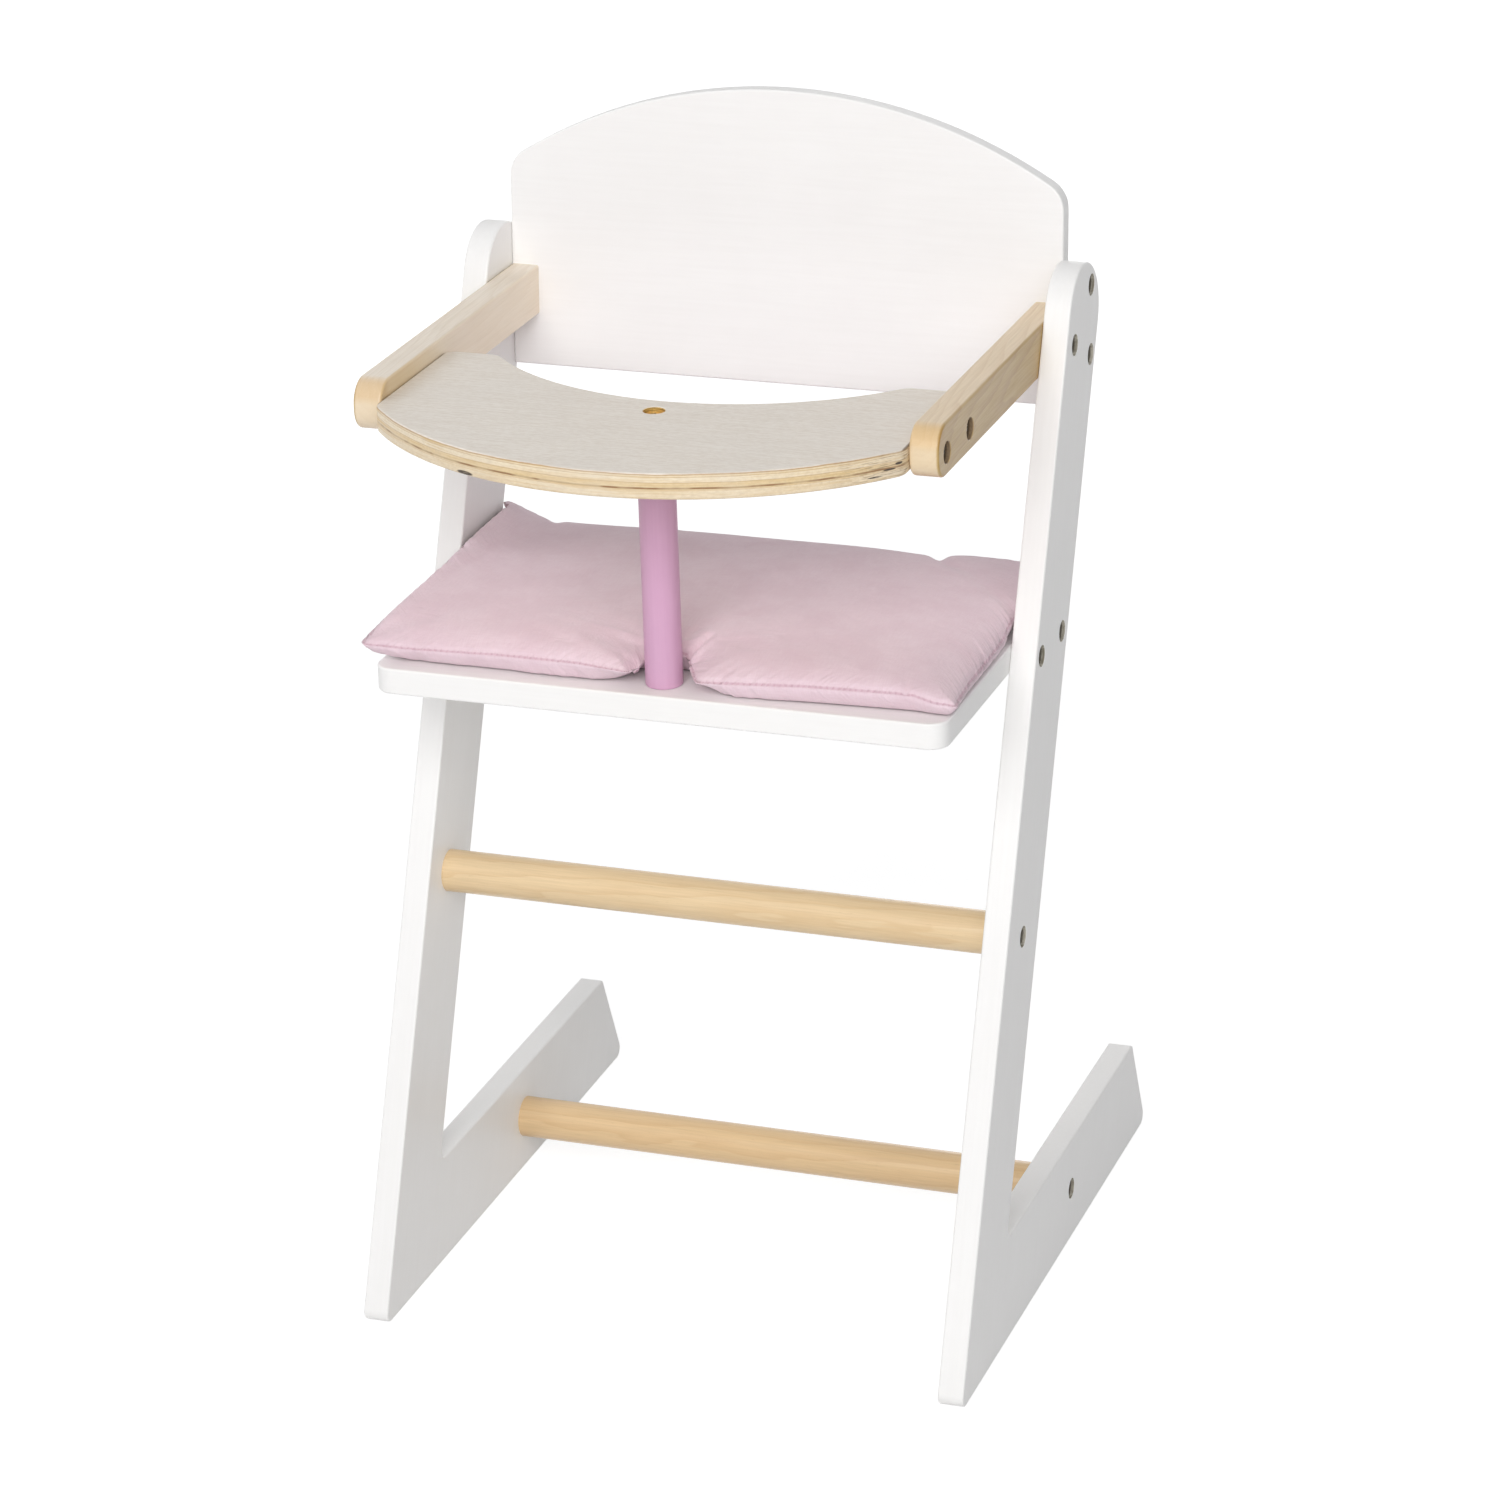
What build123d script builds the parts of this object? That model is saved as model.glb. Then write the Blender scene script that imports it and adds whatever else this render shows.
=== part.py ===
from build123d import *
import math
import os

# Doll high chair, in millimetres.
# Two painted side frames hold a seat, a backrest, two arms and two round rails.
# A tray spans the arms, a post joins it to the seat, and a loose cushion lies on the seat.
# X points to the right seen from the front, Y points back and Z points up.
# Every Y below counts from the toe of the side frames, and the finished part is then
# moved so that its origin lies on the floor, in the middle of its overall box.

# Side frames
inner_width = 263.0
frame_thickness = 12.0
frame_height = 465.5
leg_width = 51.0
leg_lean_share = 0.40
foot_length = 303.0
foot_height = 50.0
heel_slant = 22.0
toe_radius = 4.5
heel_radius = 5.0
heel_top_radius = 2.0
notch_radius = 4.0
painted_edge_radius = 1.0

# Seat board
seat_drop = 152.5
seat_thickness = 12.0
seat_front = 27.5
seat_depth = 181.0
seat_corner_radius = 9.0
seat_screw_inset = 9.5

# Backrest, measured up its own face from its bottom edge
back_drop = 68.0
back_setback = 47.0
back_tilt_degrees = 3.4
back_thickness = 9.0
back_height = 135.0
back_shoulder_height = 96.0
back_shoulder_radius = 14.0
back_screw_heights = (24.0, 55.6)

# Arms
arm_drop = 21.0
arm_height = 23.0
arm_thickness = 13.0
arm_front = 25.5
arm_nose_top_radius = 11.0
arm_nose_bottom_radius = 9.5
arm_edge_radius = 1.2
arm_screw_setback = 13.8

# Tray
tray_drop = 7.5
tray_thickness = 11.5
tray_front = -37.0
tray_front_corner = 20.0
tray_scoop_back = 56.5
tray_ear_back = 99.5
tray_ear_width = 24.5
tray_front_radius = 10.0
tray_ear_inner_radius = 8.0
tray_ear_outer_radius = 5.0
tray_edge_radius = 0.9
tray_screw_setbacks = (12.0, 44.0)

# Post between tray and seat
post_diameter = 16.5
post_back = 43.0
post_edge_radius = 0.8

# Round rails
rail_diameter = 19.6
footrest_height = 186.0
stretcher_back = 174.0

# Wood screws, sunk in counterbores
screw_thread_diameter = 3.5
screw_core_share = 0.68
screw_pitch = 1.5
screw_tip_length = 3.0
screw_head_diameter = 8.0
screw_head_height = 2.6
screw_head_rim_share = 0.35
cross_length = 4.2
cross_width = 1.0
cross_depth = 1.3
counterbore_diameter = 9.4
counterbore_depth = 4.6
counterbore_rim = 0.4
screw_clearance = 0.05
pilot_overdepth = 1.0
long_grip = 26.0
short_grip = 10.0
overrun = 1.0

# Loose cushion
cushion_height = 19.0
cushion_front_lip = 2.0
cushion_rear_lip = 1.0
cushion_side_clearance = 1.5
cushion_rest_clearance = 0.3
cushion_draw = 3.0
cushion_shoulder = 32.0
cushion_corner_radius = 6.0
cushion_mouth_radius = 5.0
cushion_notch_clearance = 3.0
cushion_notch_round_share = 0.8
cushion_cloth = 1.2
cushion_filling_gap = 0.2
cushion_rise_shares = (0.0, 0.13, 0.36, 0.62, 0.83, 0.95, 1.0)
cushion_inset_shares = (0.26, 0.06, 0.0, 0.11, 0.34, 0.65, 1.0)
cushion_corner_growth_share = 0.5
cushion_corner_limit_share = 0.5
cushion_mouth_growth_share = 0.25
cushion_mouth_limit_share = 0.3

# Sizes that follow from those above
inner_half = inner_width / 2
outer_half = inner_half + frame_thickness
lean = math.atan(leg_lean_share)
leg_end_radius = leg_width / 2 * math.cos(lean)
leg_end_height = frame_height - leg_end_radius
seat_top = frame_height - seat_drop
back_bottom = frame_height - back_drop
back_front = leg_lean_share * back_bottom + back_setback
arm_top = frame_height - arm_drop
arm_middle = arm_top - arm_height / 2
arm_inner_half = inner_half - arm_thickness
tray_top = arm_top - tray_drop
tray_bottom = tray_top - tray_thickness
tray_middle = tray_top - tray_thickness / 2
seat_middle = seat_top - seat_thickness / 2
seat_rear = seat_front + seat_depth
stretcher_height = foot_height / 2
heel_share = heel_slant / foot_height
foot_reach = foot_length - heel_radius * (heel_share + math.hypot(1, heel_share) - 1)
depth_middle = (tray_front + foot_reach) / 2
sides = (1, -1)


def leg_front(height):
    """Y of the leg's front edge at a height above the floor."""
    return leg_lean_share * height


def leg_middle(height):
    return leg_front(height) + leg_width / 2


def back_point(up, through=0.0):
    """Y and Z of a point up the backrest's face, and so far through its thickness."""
    tilt = math.radians(back_tilt_degrees)
    y = back_front + up * math.sin(tilt) + through * math.cos(tilt)
    z = back_bottom + up * math.cos(tilt) - through * math.sin(tilt)
    return y, z


def back_face(height):
    """Y of the backrest's front face at a height above the floor."""
    return back_front + (height - back_bottom) * math.tan(math.radians(back_tilt_degrees))


def rounded(solid, radius, axis):
    """The solid with the outlines of its two faces square to an axis rounded."""
    return fillet(solid.faces().filter_by(axis).edges(), radius)


# Wood screws. Local Z points out of the head, and zero is the head's bearing face.

def wood_screw(length):
    """Pan head with a cross recess, above a ridged shank of the given length."""
    thread = screw_thread_diameter / 2
    core = thread * screw_core_share
    head = screw_head_diameter / 2
    threaded = length - screw_tip_length
    ridges = int(threaded / screw_pitch)
    start = threaded - ridges * screw_pitch
    shank = [(thread, 0), (thread, -start)]
    for ridge in range(ridges):
        top = -start - ridge * screw_pitch
        shank += [(core, top - screw_pitch / 2), (thread, top - screw_pitch)]
    outline = Polyline(*shank, (0, -length), (0, screw_head_height))
    rim = (head, screw_head_height * screw_head_rim_share)
    dome = ThreePointArc((0, screw_head_height),
                         (head * math.sin(math.pi / 4), screw_head_height * math.cos(math.pi / 8)), rim)
    collar = Polyline(rim, (head, 0), (thread, 0))
    profile = Plane.XZ * make_face(outline + dome + collar)
    body = revolve(profile, Axis.Z)
    slot = Pos(0, 0, screw_head_height - cross_depth / 2)
    for turn in (0, 90):
        body -= slot * Rot(0, 0, turn) * Box(cross_length, cross_width, cross_depth + overrun)
    return body


def screw_bore(length):
    """Counterbore with an eased rim, and the pilot hole for a screw of the given length."""
    wide = counterbore_diameter / 2
    pilot = screw_thread_diameter / 2 + screw_clearance
    depth = length + pilot_overdepth
    up = (Align.CENTER, Align.CENTER, Align.MIN)
    down = (Align.CENTER, Align.CENTER, Align.MAX)
    rim = Pos(0, 0, counterbore_depth - counterbore_rim)
    floor = Pos(0, 0, -screw_clearance)
    bore = floor * Cylinder(wide, counterbore_depth + screw_clearance + overrun, align=up)
    bore += rim * Cone(wide, wide + counterbore_rim, counterbore_rim, align=up)
    bore += Pos(0, 0, overrun) * Cylinder(pilot, depth + overrun, align=down)
    return bore


def side_place(side, face, y, z):
    """Place of a screw driven sideways through the board whose outer face is given."""
    return Location((side * (face - counterbore_depth), y, z), (0, side * 90, 0))


class Fixing:
    """Identical screws at their places, with the bores that they sit in."""

    def __init__(self, board, grip, places):
        length = board - counterbore_depth + grip
        self.screws = Compound(children=[place * wood_screw(length) for place in places])
        self.bores = [place * screw_bore(length) for place in places]


def side_fixing(face, board, grip, points):
    places = [side_place(side, face, y, z) for side in sides for y, z in points]
    return Fixing(board, grip, places)


seat_edges = (seat_screw_inset, leg_width - seat_screw_inset)
seat_points = [(leg_front(seat_middle) + edge, seat_middle) for edge in seat_edges]
back_points = [back_point(up, back_thickness / 2) for up in back_screw_heights]
tray_points = [(arm_front + setback, tray_middle) for setback in tray_screw_setbacks]

seat_fixing = side_fixing(outer_half, frame_thickness, long_grip, seat_points)
back_fixing = side_fixing(outer_half, frame_thickness, long_grip, back_points)
arm_fixing = side_fixing(outer_half, frame_thickness, short_grip,
                         [(leg_front(arm_middle) + arm_screw_setback, arm_middle)])
footrest_fixing = side_fixing(outer_half, frame_thickness, long_grip,
                              [(leg_middle(footrest_height), footrest_height)])
stretcher_fixing = side_fixing(outer_half, frame_thickness, long_grip,
                               [(stretcher_back, stretcher_height)])
tray_fixing = side_fixing(inner_half, arm_thickness, long_grip, tray_points)
post_top_fixing = Fixing(tray_thickness, long_grip,
                         [Pos(0, post_back, tray_top - counterbore_depth)])
post_foot_fixing = Fixing(seat_thickness, long_grip,
                          [Pos(0, post_back, seat_top - seat_thickness + counterbore_depth)
                           * Rot(180, 0, 0)])
frame_fixings = (seat_fixing, back_fixing, arm_fixing, footrest_fixing, stretcher_fixing)


def bored(solid, *fixings):
    """The solid with the bores of every fixing that reaches it."""
    for fixing in fixings:
        for bore in fixing.bores:
            solid -= bore
    return solid


# Side frames. One board each: a leaning leg with a rounded top and a foot that runs back.

def side_frame(side):
    centre = Vector(leg_middle(leg_end_height), leg_end_height)
    across = Vector(math.cos(lean), -math.sin(lean)) * leg_end_radius
    along = Vector(math.sin(lean), math.cos(lean)) * leg_end_radius
    outline = FilletPolyline(
        centre + across,
        (leg_front(foot_height) + leg_width, foot_height),
        (foot_length - heel_slant, foot_height),
        (foot_length, 0),
        (0, 0),
        centre - across,
        radius=[notch_radius, heel_top_radius, heel_radius, toe_radius],
    )
    top = ThreePointArc(centre - across, centre + along, centre + across)
    profile = Plane.YZ * make_face(outline + top)
    board = Pos(inner_half, 0, 0) * extrude(profile, frame_thickness)
    board = rounded(board, painted_edge_radius, Axis.X)
    if side < 0:
        board = mirror(board, Plane.YZ)
    return bored(board, *frame_fixings)


# Seat board, square at the back and rounded at its two front corners.

def seat_board():
    board = Pos(0, seat_front + seat_depth / 2, seat_middle) * Box(inner_width, seat_depth, seat_thickness)
    front = board.edges().filter_by(Axis.Z).group_by(Axis.Y)[0]
    board = rounded(fillet(front, seat_corner_radius), painted_edge_radius, Axis.Z)
    return bored(board, seat_fixing, post_foot_fixing)


# Backrest: straight sides, rounded shoulders and one long arc over the top.

def backrest_panel():
    half = inner_half
    sides_and_foot = Polyline((half, back_shoulder_height), (half, 0), (-half, 0),
                              (-half, back_shoulder_height))
    crown = ThreePointArc((-half, back_shoulder_height), (0, back_height), (half, back_shoulder_height))
    face = make_face(sides_and_foot + crown)
    shoulders = face.vertices().filter_by_position(Axis.Y, back_shoulder_height, back_height)
    face = fillet(shoulders, back_shoulder_radius)
    front_plane = Plane(origin=(0, back_front, back_bottom), x_dir=(1, 0, 0),
                        z_dir=(0, -1, 0)).rotated((-back_tilt_degrees, 0, 0))
    board = extrude(front_plane * face, -back_thickness)
    outlines = [f for f in board.faces() if f.area > face.area / 2]
    board = fillet([edge for f in outlines for edge in f.edges()], painted_edge_radius)
    return bored(board, back_fixing)


# Arms: flat rails with a rounded nose, butted against the backrest.

def armrest(side):
    bottom = arm_top - arm_height
    outline = FilletPolyline(
        (back_face(bottom), bottom),
        (arm_front, bottom),
        (arm_front, arm_top),
        (back_face(arm_top), arm_top),
        radius=[arm_nose_bottom_radius, arm_nose_top_radius],
    )
    butt = Line((back_face(arm_top), arm_top), (back_face(bottom), bottom))
    profile = Plane.YZ * make_face(outline + butt)
    arm = Pos(arm_inner_half, 0, 0) * extrude(profile, arm_thickness)
    edges = arm.faces().filter_by(Axis.X).edges()
    arm = fillet([edge for edge in edges if edge.center().Y < back_front], arm_edge_radius)
    if side < 0:
        arm = mirror(arm, Plane.YZ)
    return bored(arm, arm_fixing, tray_fixing)


# Tray: bowed front, scooped back, and two ears that reach back along the arms.

def tray():
    half = arm_inner_half
    ear = half - tray_ear_width
    front = ThreePointArc((-half, tray_front_corner), (0, tray_front), (half, tray_front_corner))
    right = Polyline((half, tray_front_corner), (half, tray_ear_back), (ear, tray_ear_back))
    scoop = ThreePointArc((ear, tray_ear_back), (0, tray_scoop_back), (-ear, tray_ear_back))
    left = Polyline((-ear, tray_ear_back), (-half, tray_ear_back), (-half, tray_front_corner))
    face = make_face(front + right + scoop + left)
    face = rounded_corners(face, ((half, tray_front_corner), tray_front_radius),
                           ((half, tray_ear_back), tray_ear_outer_radius),
                           ((ear, tray_ear_back), tray_ear_inner_radius))
    board = extrude(Pos(0, 0, tray_bottom) * face, tray_thickness)
    board = rounded(board, tray_edge_radius, Axis.Z)
    return bored(board, tray_fixing, post_top_fixing)


def rounded_corners(face, *corners):
    """Round each named corner of a flat face and its mirror image across X."""
    for (x, y), radius in corners:
        for side in sides:
            spot = Vector(side * x, y)
            nearest = min(face.vertices(), key=lambda vertex: (Vector(vertex) - spot).length)
            face = fillet(nearest, radius)
    return face


def safety_post():
    length = tray_bottom - seat_top
    post = Pos(0, post_back, seat_top + length / 2) * Cylinder(post_diameter / 2, length)
    post = fillet(post.edges().filter_by(GeomType.CIRCLE), post_edge_radius)
    return bored(post, post_top_fixing, post_foot_fixing)


def rail(y, z, fixing):
    rod = Location((0, y, z), (0, 90, 0)) * Cylinder(rail_diameter / 2, inner_width)
    return bored(rod, fixing)


# Cushion: two panels sewn at the edge, with a notch in front for the post.

def cushion_section(inset, height):
    """Outline of the cushion at one height, drawn in by an inset all round."""
    half = inner_half - cushion_side_clearance - inset
    front = seat_front - cushion_front_lip + inset
    rear = seat_rear + cushion_rear_lip - inset
    slot = post_diameter / 2 + cushion_notch_clearance + inset
    slot_end = post_back + inset
    slot_round = slot_end + slot * cushion_notch_round_share
    middle = (front + rear) / 2
    lobe = (slot + half) / 2
    near = front + cushion_draw / 2
    outline = ThreePointArc((slot, front), (lobe, near), (half, front))
    outline += ThreePointArc((half, front), (half - cushion_draw, middle), (half, rear))
    outline += ThreePointArc((half, rear), (0, rear - cushion_draw), (-half, rear))
    outline += ThreePointArc((-half, rear), (cushion_draw - half, middle), (-half, front))
    outline += ThreePointArc((-half, front), (-lobe, near), (-slot, front))
    outline += Line((-slot, front), (-slot, slot_end))
    outline += ThreePointArc((-slot, slot_end), (0, slot_round), (slot, slot_end))
    outline += Line((slot, slot_end), (slot, front))
    width = half - slot
    corner = min(cushion_corner_radius + inset * cushion_corner_growth_share,
                 width * cushion_corner_limit_share)
    mouth = min(cushion_mouth_radius + inset * cushion_mouth_growth_share,
                width * cushion_mouth_limit_share)
    face = rounded_corners(make_face(outline), ((half, front), corner), ((half, rear), corner),
                           ((slot, front), mouth))
    return Pos(0, 0, height) * face


def cushion_body(skin):
    """The cushion's form, a skin's thickness inside its outer surface."""
    low = seat_top + cushion_rest_clearance + skin
    rise = cushion_height - 2 * skin
    shares = list(zip(cushion_rise_shares, cushion_inset_shares))
    sections = [cushion_section(skin + inset * cushion_shoulder, low + up * rise)
                for up, inset in shares]
    seam = cushion_inset_shares.index(0)
    return loft(sections[:seam + 1]) + loft(sections[seam:])


def cushion_cover():
    return cushion_body(0) - cushion_body(cushion_cloth)


nodes = {
    "right_side_frame": side_frame(1),
    "left_side_frame": side_frame(-1),
    "seat_board": seat_board(),
    "backrest_panel": backrest_panel(),
    "right_armrest": armrest(1),
    "left_armrest": armrest(-1),
    "tray": tray(),
    "safety_post": safety_post(),
    "footrest_rail": rail(leg_middle(footrest_height), footrest_height, footrest_fixing),
    "stretcher_rail": rail(stretcher_back, stretcher_height, stretcher_fixing),
    "seat_screws": seat_fixing.screws,
    "backrest_screws": back_fixing.screws,
    "armrest_screws": arm_fixing.screws,
    "footrest_screws": footrest_fixing.screws,
    "stretcher_screws": stretcher_fixing.screws,
    "tray_screws": tray_fixing.screws,
    "post_top_screw": post_top_fixing.screws,
    "post_foot_screw": post_foot_fixing.screws,
    "cushion_cover": cushion_cover(),
    "cushion_filling": cushion_body(cushion_cloth + cushion_filling_gap),
}

# The origin goes to the middle of the depth, and each node is written as its own solids.
to_middle = Pos(0, -depth_middle, 0)
os.makedirs("parts", exist_ok=True)
for name, shape in nodes.items():
    placed = Compound([to_middle * solid for solid in shape.solids()])
    export_step(placed, f"parts/{name}.step")
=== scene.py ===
# %% [markdown]
# # A doll's high chair, step by step
# The chair is a wooden toy: two white side boards that lean back, a white seat and backrest, bare
# wooden arms and rails, a plywood tray on a mauve post, and a thin pink cushion on the seat. The hard
# parts come ready made, with their real sizes, from the model that this file loads. What is left to do
# here is what makes them look real: paint, wood, plywood, metal and cloth, the cushion's soft shape,
# the light and the camera. Lengths are in metres. X points right, Y to the back and Z up.

import math

import bpy
import numpy as np
from mathutils import Matrix, Vector
from mathutils.geometry import delaunay_2d_cdt


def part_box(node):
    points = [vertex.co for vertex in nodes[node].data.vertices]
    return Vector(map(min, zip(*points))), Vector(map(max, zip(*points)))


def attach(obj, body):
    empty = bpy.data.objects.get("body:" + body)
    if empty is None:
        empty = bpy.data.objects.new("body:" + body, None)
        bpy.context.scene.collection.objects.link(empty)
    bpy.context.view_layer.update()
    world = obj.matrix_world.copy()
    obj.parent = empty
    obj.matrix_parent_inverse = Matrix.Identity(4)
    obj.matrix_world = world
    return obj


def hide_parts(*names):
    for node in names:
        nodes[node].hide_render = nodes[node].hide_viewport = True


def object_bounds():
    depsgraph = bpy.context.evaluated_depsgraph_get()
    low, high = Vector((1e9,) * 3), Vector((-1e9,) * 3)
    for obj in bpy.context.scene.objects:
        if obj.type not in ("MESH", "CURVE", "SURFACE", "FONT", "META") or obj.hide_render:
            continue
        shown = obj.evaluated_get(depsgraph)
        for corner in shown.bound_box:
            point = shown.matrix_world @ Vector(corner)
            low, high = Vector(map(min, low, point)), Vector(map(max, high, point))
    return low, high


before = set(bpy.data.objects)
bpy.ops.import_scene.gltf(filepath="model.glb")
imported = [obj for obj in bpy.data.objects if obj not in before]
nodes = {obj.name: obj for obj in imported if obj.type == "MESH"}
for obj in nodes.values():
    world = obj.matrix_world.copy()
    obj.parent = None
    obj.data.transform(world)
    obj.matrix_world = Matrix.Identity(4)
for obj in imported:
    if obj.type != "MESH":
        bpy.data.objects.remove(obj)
solid_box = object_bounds()
print("pieces:", len(nodes), "box:", [tuple(round(v, 4) for v in corner) for corner in solid_box])

# %% [markdown]
# ## The camera
# A camera has a place, a direction and a focal length. The picture was taken from the front right,
# 22 degrees above the horizon, with a long lens from about 2.3 metres away, so that upright edges
# stay nearly parallel. The camera's own axes follow from two turns and a small roll, and together
# with its place they make its matrix.

# %% The camera
heading, height_angle, roll = (math.radians(a) for a in (20.187, 22.029, -1.803))
camera_place = Vector((0.72797, -1.96421, 1.09463))
image_width, focal_pixels, sensor_width = 1500, 4992.5, 36.0

backward = Vector((math.sin(heading) * math.cos(height_angle),
                   -math.cos(heading) * math.cos(height_angle), math.sin(height_angle)))
level = Vector((math.cos(heading), math.sin(heading), 0))
steep = backward.cross(level)
rightward = math.cos(roll) * level + math.sin(roll) * steep
upward = math.cos(roll) * steep - math.sin(roll) * level

camera = bpy.data.objects.new("camera", bpy.data.cameras.new("camera"))
camera.data.sensor_width = sensor_width
camera.data.lens = sensor_width * focal_pixels / image_width
camera.data.clip_start, camera.data.clip_end = 0.05, 50
turn = Matrix((rightward, upward, backward)).transposed().to_4x4()
camera.matrix_world = Matrix.Translation(camera_place) @ turn
bpy.context.scene.collection.objects.link(camera)
bpy.context.scene.camera = camera
print("lens:", round(camera.data.lens, 1), "mm")

# %% [markdown]
# ## Helpers for materials
# A material in Blender is a graph of nodes. Building a graph by hand in code is wordy, so a node's
# output is wrapped here as a value: each sum, product or comparison of values in the code adds the
# node that works it out. A few small helpers do the same for other kinds of nodes. With them, a
# formula reads almost as it would on paper.

# %% Values that build node graphs
def step(operation):
    """A method that adds one step of arithmetic."""
    return lambda *values: calc(operation, *values)


class Value:
    """A number, vector or colour that may vary over the surface: one output of a node."""

    def __init__(self, socket):
        self.socket = socket

    __add__ = step("ADD")
    __sub__ = step("SUBTRACT")
    __mul__ = step("MULTIPLY")
    __truediv__ = step("DIVIDE")
    __pow__ = step("POWER")
    __abs__ = step("ABSOLUTE")
    __lt__ = step("LESS_THAN")
    __gt__ = step("GREATER_THAN")


def feed(socket, value):
    """Connect a node's input to a value, or give it a plain one."""
    if isinstance(value, Value):
        socket.id_data.links.new(value.socket, socket)
    else:
        socket.default_value = value


def add(tree, kind, inputs=(), output=0, **settings):
    """One output of a new node, which has its settings, and its inputs fed by name or number."""
    made = tree.nodes.new(kind)
    for name, value in settings.items():
        setattr(made, name, value)
    for key, value in dict(inputs).items():
        feed(made.inputs[key], value)
    return Value(made.outputs[output])


def all_outputs(value):
    """Every output of a value's node, by name."""
    return {socket.name: Value(socket) for socket in value.socket.node.outputs}


def tree_of(*values):
    """The node tree that the values are in; plain ones are in none."""
    return next(value.socket.id_data for value in values if isinstance(value, Value))


def calc(operation, *values):
    """The result of one step of arithmetic on numbers."""
    return add(tree_of(*values), "ShaderNodeMath", enumerate(values), operation=operation)


def vector_calc(operation, *values):
    """The result of one step of vector arithmetic; lengths and products come out as a number."""
    output = "Value" if operation in ("LENGTH", "DOT_PRODUCT") else "Vector"
    return add(tree_of(*values), "ShaderNodeVectorMath", enumerate(values), output, operation=operation)


def xyz(vector):
    """A vector's three parts."""
    return list(all_outputs(add(tree_of(vector), "ShaderNodeSeparateXYZ", {0: vector})).values())


def between(value, low, high, to_low=0.0, to_high=1.0):
    """A value that runs from to_low to to_high while its input runs from low to high, and stops there."""
    inputs = {"Value": value, "From Min": low, "From Max": high, "To Min": to_low, "To Max": to_high}
    return add(tree_of(value), "ShaderNodeMapRange", inputs, interpolation_type="SMOOTHSTEP")


def blend(amount, first, second, way="MIX"):
    """First colour where the amount is 0, and second colour blended in where it is 1."""
    made = tree_of(amount, first, second).nodes.new("ShaderNodeMix")
    made.data_type, made.blend_type = "RGBA", way
    feed(made.inputs[0], amount)
    for number, colour in ((6, first), (7, second)):
        feed(made.inputs[number], colour if isinstance(colour, Value) else rgb(*colour))
    return Value(made.outputs[2])


def noise(vector, scale, detail=2.0, roughness=0.5, distortion=0.0):
    """Soft random values from 0 to 1. Three scales in place of one stretch them along the axes."""
    if isinstance(scale, tuple):
        vector, scale = vector_calc("MULTIPLY", vector, scale), 1.0
    inputs = {"Vector": vector, "Scale": scale, "Detail": detail, "Roughness": roughness,
              "Distortion": distortion}
    return add(tree_of(vector), "ShaderNodeTexNoise", inputs)


def rgb(red, green, blue):
    """An opaque colour."""
    return (red, green, blue, 1.0)


# %% [markdown]
# ## Effects that several materials share
# Grain, sunk screw holes, softly worn edges and fine unevenness turn up on more than one finish, and
# soft spots turn up several times on one. Each is built once as a node group with named inputs and
# outputs, like a function, and then placed in each material with values of its own.

# %% A way to make node groups
KINDS = {float: "NodeSocketFloat", tuple: "NodeSocketVector"}


def new_group(name, inputs, outputs):
    """A new group's tree, the values that come into it, and the named sockets to feed as its outputs."""
    tree = bpy.data.node_groups.new(name, "ShaderNodeTree")
    for label, usual in inputs.items():
        socket = tree.interface.new_socket(label, in_out="INPUT", socket_type=KINDS[type(usual)])
        socket.default_value = usual
    for label in outputs:
        tree.interface.new_socket(label, in_out="OUTPUT", socket_type="NodeSocketFloat")
    given = {socket.name: Value(socket) for socket in tree.nodes.new("NodeGroupInput").outputs}
    return tree, given, tree.nodes.new("NodeGroupOutput").inputs


def use(tree, group, **values):
    """One placed copy of a group, with its inputs set, and its outputs given back by name."""
    made = tree.nodes.new("ShaderNodeGroup")
    made.node_tree = group
    for label, value in values.items():
        feed(made.inputs[label.replace("_", " ")], value)
    return {socket.name: Value(socket) for socket in made.outputs}


# %% [markdown]
# ### Wood grain
# Wood is a bundle of growth rings round the tree's pith. A board is a slice through that bundle, so
# the rings show as long streaks on it, or as pointed arches where the board cuts them at a slant. The
# group measures the distance from a pith line that lies outside the board and turns that distance
# into rings, wobbled by noise. Fine fibres and short pores run along the grain: both are noise that
# is stretched many times in that direction.

# %% Wood grain as a group
wood_grain, given, out = new_group(
    "wood grain",
    {"Vector": (0.0, 0.0, 0.0), "Pith": (0.0, 0.03, 0.02), "Slant": 0.06, "Ring width": 0.004,
     "Wobble": 0.6, "Fibre width": 0.0012},
    ("Rings", "Fibres", "Pores"))
x, y, z = xyz(given["Vector"])
pith = xyz(given["Pith"])
across = y - (x * given["Slant"] + pith[1])
upwards = z - pith[2]
wobble = (noise(given["Vector"], (9.0, 60.0, 60.0), 3.0) - 0.5) * given["Wobble"]
radius = calc("SQRT", across ** 2.0 + upwards ** 2.0)
sawtooth = calc("FRACT", radius / given["Ring width"] + wobble * 6.0)
feed(out["Rings"], sawtooth ** 2.5 * between(sawtooth, 1.0, 0.93))
pitch = calc("DIVIDE", 1.0, given["Fibre width"])
stretch = add(wood_grain, "ShaderNodeCombineXYZ", {0: pitch * 0.035, 1: pitch, 2: pitch})
feed(out["Fibres"], noise(vector_calc("MULTIPLY", given["Vector"], stretch), 1.0, 4.0, 0.62))
feed(out["Pores"], between(noise(given["Vector"], (260.0, 4200.0, 4200.0), 1.0), 0.68, 0.78))
print("group:", wood_grain.name)

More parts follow.
